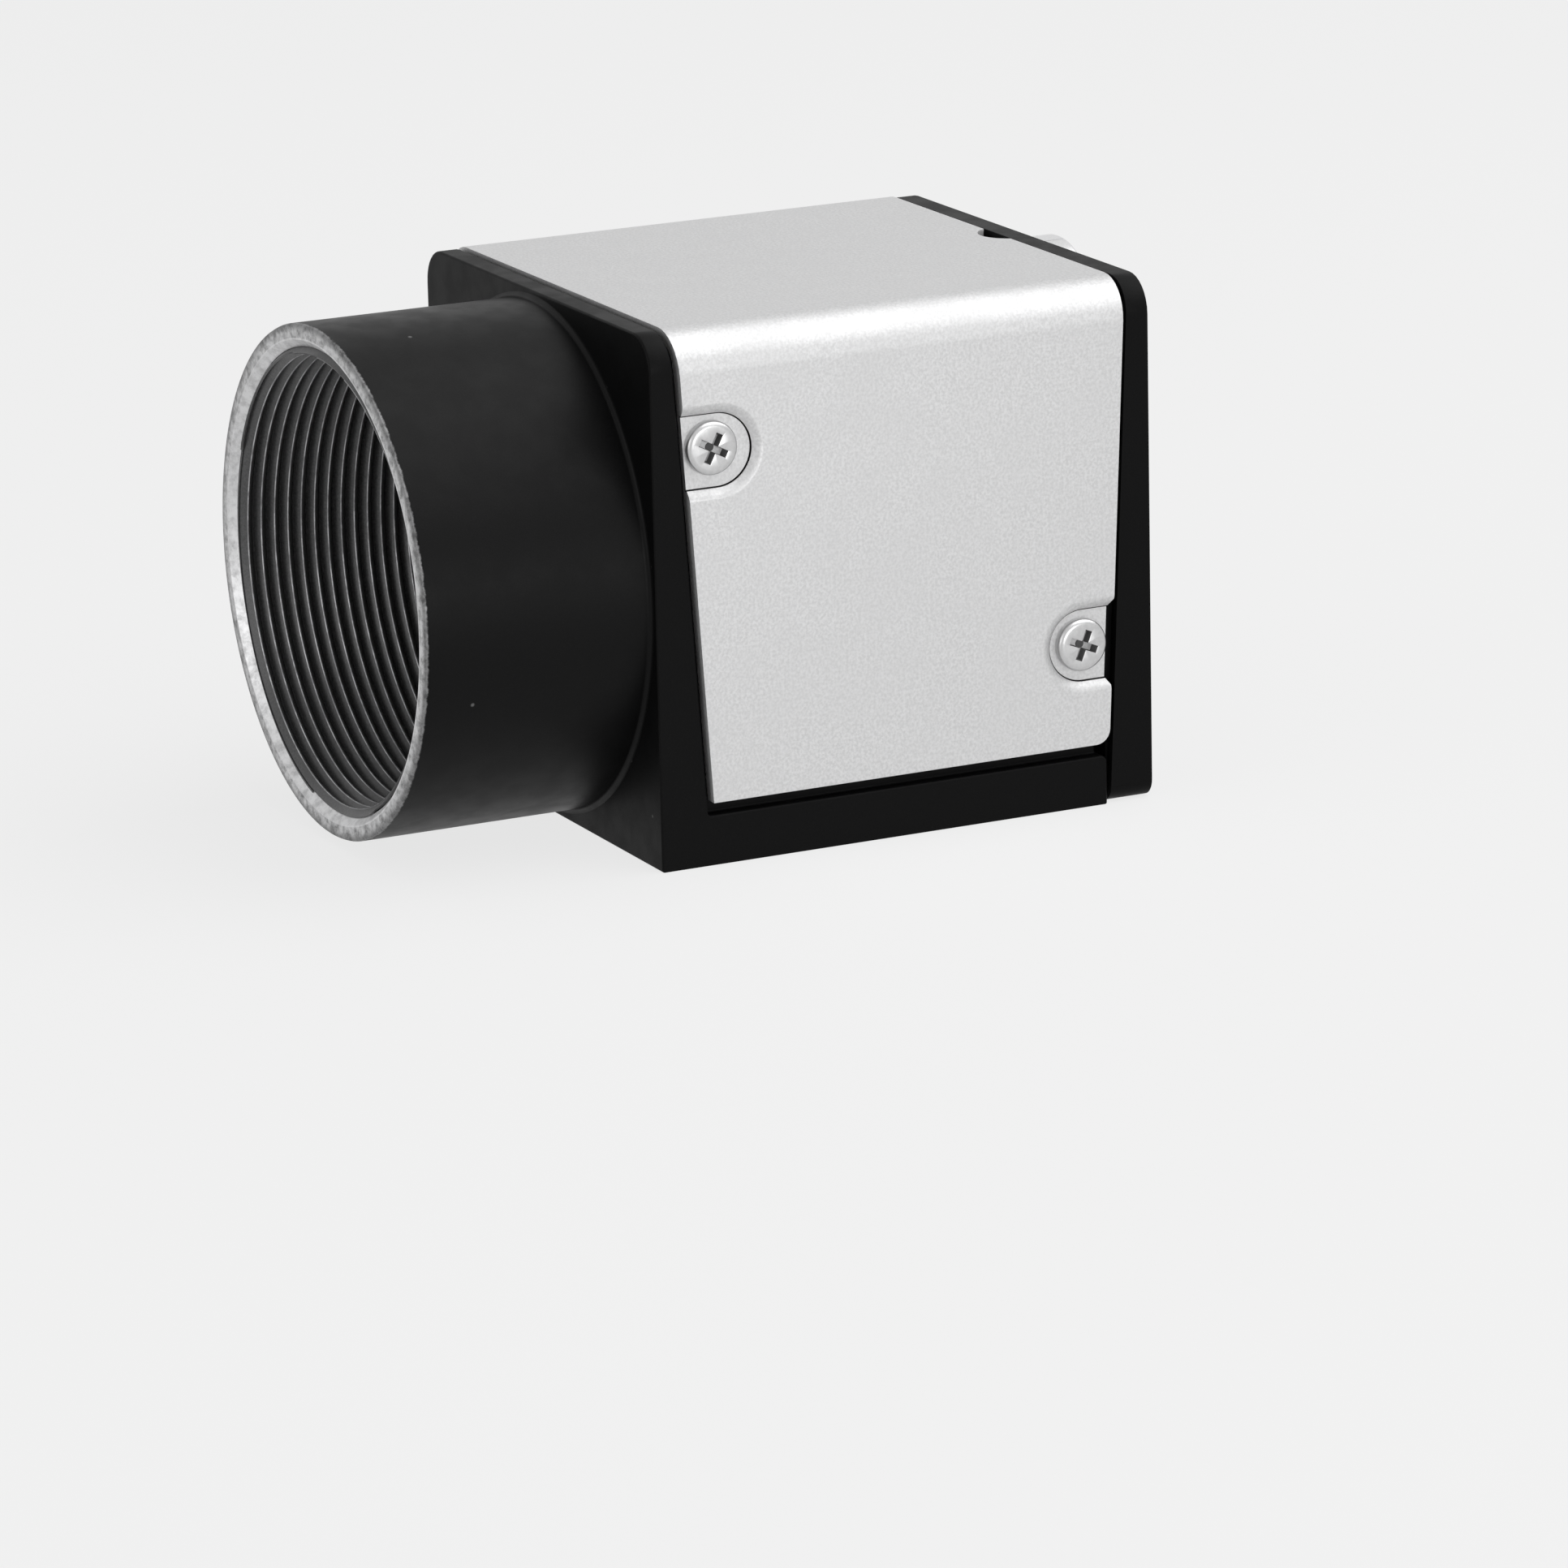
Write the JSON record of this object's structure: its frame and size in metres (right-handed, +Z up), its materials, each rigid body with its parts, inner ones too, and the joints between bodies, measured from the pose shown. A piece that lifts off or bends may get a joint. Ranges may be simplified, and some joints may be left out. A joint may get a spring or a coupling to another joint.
{
  "type": "machine vision camera",
  "caption": "Cube-shaped machine vision camera with a threaded lens tube, bent silver cover, black end plates, and data and signal connectors at the back.",
  "frame": {"origin": "middle of the four fixing threads in the underside of the base", "axes": "-Y along the lens axis towards the scene, +Y towards the connectors, +Z up, +X to the right seen from the front's back, that is to the left seen from behind"},
  "size_m": [0.0298, 0.0491, 0.0292],
  "materials": {
    "black_coat": "fine satin black coat over cast metal, worn to metal on edges",
    "silver_sheet": "fine-grained satin silver sheet",
    "screw_steel": "bright plated steel",
    "filter_glass": "clear coated glass",
    "ring_black": "matt black",
    "ceramic": "matt ceramic",
    "silicon": "polished silicon",
    "cover_glass": "clear",
    "circuit_board": "green solder mask",
    "link_plastic": "ivory",
    "chip_plastic": "moulded black",
    "crystal_can": "plated",
    "spacer_brass": "turned",
    "shell_steel": "plated folded sheet",
    "contact_gold": "gold plated",
    "black_plastic": "moulded black",
    "connector_metal": "satin plated, turned",
    "light_window": "frosted clear",
    "lamp_body": "clear moulded"
  },
  "bodies": {
    "root": {"front_housing": "black_coat", "rear_plate": "black_coat", "top_cover": "silver_sheet", "cover_screw_1": "screw_steel", "cover_screw_2": "screw_steel", "cover_screw_3": "screw_steel", "cover_screw_4": "screw_steel", "board_screw_1": "screw_steel", "board_screw_2": "screw_steel", "board_screw_3": "screw_steel", "board_screw_4": "screw_steel", "filter_glass": "filter_glass", "filter_ring": "ring_black", "image_sensor": "ceramic", "sensor_die": "silicon", "sensor_glass": "cover_glass", "sensor_board": "circuit_board", "main_board": "circuit_board", "connector_board": "circuit_board", "front_link_socket": "link_plastic", "front_link_plug": "link_plastic", "rear_link_socket": "link_plastic", "rear_link_plug": "link_plastic", "processor": "chip_plastic", "memory": "chip_plastic", "data_controller": "chip_plastic", "power_inductor": "chip_plastic", "clock_crystal": "crystal_can", "front_spacer_1": "spacer_brass", "front_spacer_2": "spacer_brass", "front_spacer_3": "spacer_brass", "front_spacer_4": "spacer_brass", "rear_spacer_1": "spacer_brass", "rear_spacer_2": "spacer_brass", "rear_spacer_3": "spacer_brass", "rear_spacer_4": "spacer_brass", "data_shell": "shell_steel", "data_contacts": "contact_gold", "signal_pin_1": "contact_gold", "signal_pin_2": "contact_gold", "signal_pin_3": "contact_gold", "signal_pin_4": "contact_gold", "signal_pin_5": "contact_gold", "signal_pin_6": "contact_gold", "data_insulator": "black_plastic", "signal_insert": "black_plastic", "signal_shell": "connector_metal", "signal_nut": "connector_metal", "light_pipe": "light_window", "status_lamp": "lamp_body"}
  },
  "joints": []
}
